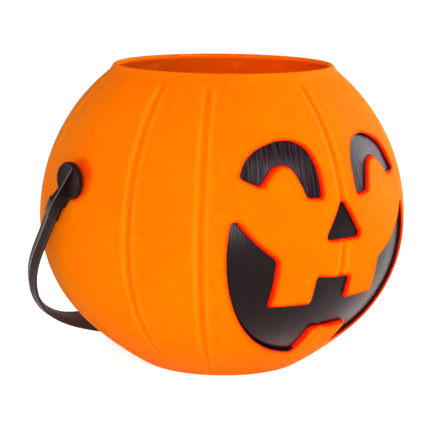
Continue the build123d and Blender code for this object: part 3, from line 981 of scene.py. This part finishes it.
def black_paint(settings):
    """Black paint laid on with a brush: a glossy skin with fine upright streaks, and glints painted along
    them that are clearest on the eyes.
    """
    material, tree, shader = new_material("black_paint")
    grain = placed_grain(tree, fine=2600.0, blotch=800.0, stretch=1.0)
    parts = place_parts(tree, "Object")
    streaks = brush_streaks(tree, parts)
    # Glints painted along the streaks: faint low down, full on the eyes
    lift = mapped(tree, streaks, 0.4, 0.58, 0.0, 1.0)
    eyes = mapped(tree, parts["Z"], GLINT_LOW, GLINT_HIGH, 0.1, 1.0)
    glint_share = calculated(tree, "MULTIPLY", lift, eyes)
    set_sockets(tree, shader, {
        "Base Color": blended(tree, glint_share, settings.black, settings.streak_glint),
        "Roughness": mapped(tree, grain["Height"], 0.3, 0.7, 0.14, 0.28),
        "Normal": bumped(tree, streaks, strength=0.5, distance=0.0005),
        "IOR": 1.5, "Specular IOR Level": 0.12, "Specular Tint": (1.0, 0.84, 0.86, 1.0)})
    return material


def studio_floor(settings):
    """Wide pale floor that looks white to the camera and in reflections, and keeps the pail's shadow."""
    material, tree, shader = new_material("studio_floor")
    path = tree.nodes.new("ShaderNodeLightPath").outputs
    seen = path["Is Camera Ray"]
    for name in ("Is Glossy Ray", "Is Transmission Ray"):
        seen = calculated(tree, "ADD", seen, path[name])
    set_sockets(tree, shader, {
        "Base Color": (*settings.floor, 1.0), "Roughness": 0.9, "Specular IOR Level": 0.0,
        "Emission Color": (1.0, 1.0, 1.0, 1.0),
        "Emission Strength": mapped(tree, seen, 0.0, 1.0, 0.0, settings.floor_glow)})
    half = FLOOR_HALF / MM
    corners = [(-half, -half, 0), (half, -half, 0), (half, half, 0), (-half, half, 0)]
    floor = new_piece("studio_floor", corners, [(0, 1, 2, 3)], material)


def studio_sky(settings):
    """White surroundings that are brightest at the horizon and dim overhead."""
    world = bpy.data.worlds.new("studio_sky")
    world.use_nodes = True
    tree = world.node_tree
    height = place_parts(tree, "Generated")["Z"]
    set_sockets(tree, tree.nodes["Background"], {
        "Color": (1.0, 1.0, 1.0, 1.0),
        "Strength": mapped(tree, height, SKY_LOW, SKY_HIGH, settings.horizon, settings.overhead)})
    bpy.context.scene.world = world


def soft_lamp(name, power, size, azimuth, elevation):
    """Square soft box that looks at the pail from an angle in degrees."""
    data = bpy.data.lights.new(name, "AREA")
    data.energy = power
    data.size = size
    lamp = bpy.data.objects.new(name, data)
    a, e = math.radians(azimuth), math.radians(elevation)
    back = Vector((math.sin(a) * math.cos(e), -math.cos(a) * math.cos(e), math.sin(e)))
    lamp.location = LAMP_AIM + back * LAMP_DISTANCE
    lamp.rotation_mode = "QUATERNION"
    lamp.rotation_quaternion = (-back).to_track_quat("-Z", "Y")
    bpy.context.scene.collection.objects.link(lamp)


def photo_camera():
    """Camera at the photograph's viewing angle."""
    data = bpy.data.cameras.new("photo_camera")
    data.sensor_width = 36.0
    data.lens = 148.26
    data.shift_x = -0.0141
    data.clip_start, data.clip_end = 0.05, 50.0
    camera = bpy.data.objects.new("photo_camera", data)
    turn, distance, height = math.radians(-38.93), 1.0432, 0.2746
    pitch, roll = math.radians(10.27), math.radians(0.619)
    place = Matrix.Translation((distance * math.sin(turn), -distance * math.cos(turn), height))
    camera.matrix_world = (place @ Matrix.Rotation(turn, 4, "Z")
                           @ Matrix.Rotation(math.pi / 2 - pitch, 4, "X") @ Matrix.Rotation(roll, 4, "Z"))
    bpy.context.scene.collection.objects.link(camera)
    bpy.context.scene.camera = camera


class PAIL_OT_shell(bpy.types.Operator):
    """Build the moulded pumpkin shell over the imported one"""
    bl_idname = "pail.shell"
    bl_label = "Build shell"

    def execute(self, context):
        shell = build_shell(context.scene.pail_shell)
        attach(shell, "pail")
        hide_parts("pail_shell")
        return {"FINISHED"}


class PAIL_OT_face_paint(bpy.types.Operator):
    """Build the black paint in the face's recesses"""
    bl_idname = "pail.face_paint"
    bl_label = "Build face paint"

    def execute(self, context):
        paint = context.scene.pail_paint
        material = black_paint(paint)
        for node, loop in face_outlines().items():
            name = node.replace("_paint", "_film")
            film = build_paint(name, loop, paint, context.scene.pail_shell, material)
            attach(film, "pail")
            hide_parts(node)
        return {"FINISHED"}


class PAIL_OT_handle(bpy.types.Operator):
    """Build the strap handle with its discs and studs"""
    bl_idname = "pail.handle"
    bl_label = "Build handle"

    def execute(self, context):
        handle = build_handle(context.scene.pail_handle)
        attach(handle, "handle")
        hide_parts("handle")
        return {"FINISHED"}


class PAIL_OT_studio(bpy.types.Operator):
    """Set the floor, light and camera"""
    bl_idname = "pail.studio"
    bl_label = "Set studio"

    def execute(self, context):
        settings = context.scene.pail_studio
        studio_floor(settings)
        studio_sky(settings)
        soft_lamp("key_lamp", settings.key, size=0.6, azimuth=-42.0, elevation=9.0)
        soft_lamp("side_lamp", settings.side, size=0.9, azimuth=76.0, elevation=18.0)
        soft_lamp("small_lamp", settings.small, size=0.22, azimuth=0.0, elevation=31.0)
        photo_camera()
        context.scene.view_settings.view_transform = "Standard"
        return {"FINISHED"}


class PAIL_PT_panel(bpy.types.Panel):
    """Lists the pail's builders"""
    bl_idname = "PAIL_PT_panel"
    bl_label = "Pumpkin candy pail"
    bl_space_type = "VIEW_3D"
    bl_region_type = "UI"
    bl_category = "Pail"

    def draw(self, context):
        scene = context.scene
        for builder, settings in (("pail.shell", scene.pail_shell), ("pail.face_paint", scene.pail_paint),
                                  ("pail.handle", scene.pail_handle), ("pail.studio", scene.pail_studio)):
            box = self.layout.box()
            box.operator(builder)
            for name in settings.__annotations__:
                box.prop(settings, name)


SETTINGS = {"pail_shell": PailShellSettings, "pail_paint": FacePaintSettings,
            "pail_handle": HandleSettings, "pail_studio": StudioSettings}
CLASSES = (*SETTINGS.values(), PAIL_OT_shell, PAIL_OT_face_paint, PAIL_OT_handle, PAIL_OT_studio,
           PAIL_PT_panel)


def register():
    """Adds the classes and the settings to Blender."""
    for item in CLASSES:
        bpy.utils.register_class(item)
    for name, kind in SETTINGS.items():
        setattr(bpy.types.Scene, name, PointerProperty(type=kind))


def unregister():
    """Takes the settings and the classes out again."""
    for name in SETTINGS:
        delattr(bpy.types.Scene, name)
    for item in reversed(CLASSES):
        bpy.utils.unregister_class(item)


def main():
    """Builds every piece and the studio."""
    register()
    bpy.ops.pail.shell()
    bpy.ops.pail.face_paint()
    bpy.ops.pail.handle()
    bpy.ops.pail.studio()


if __name__ == "__main__":
    main()
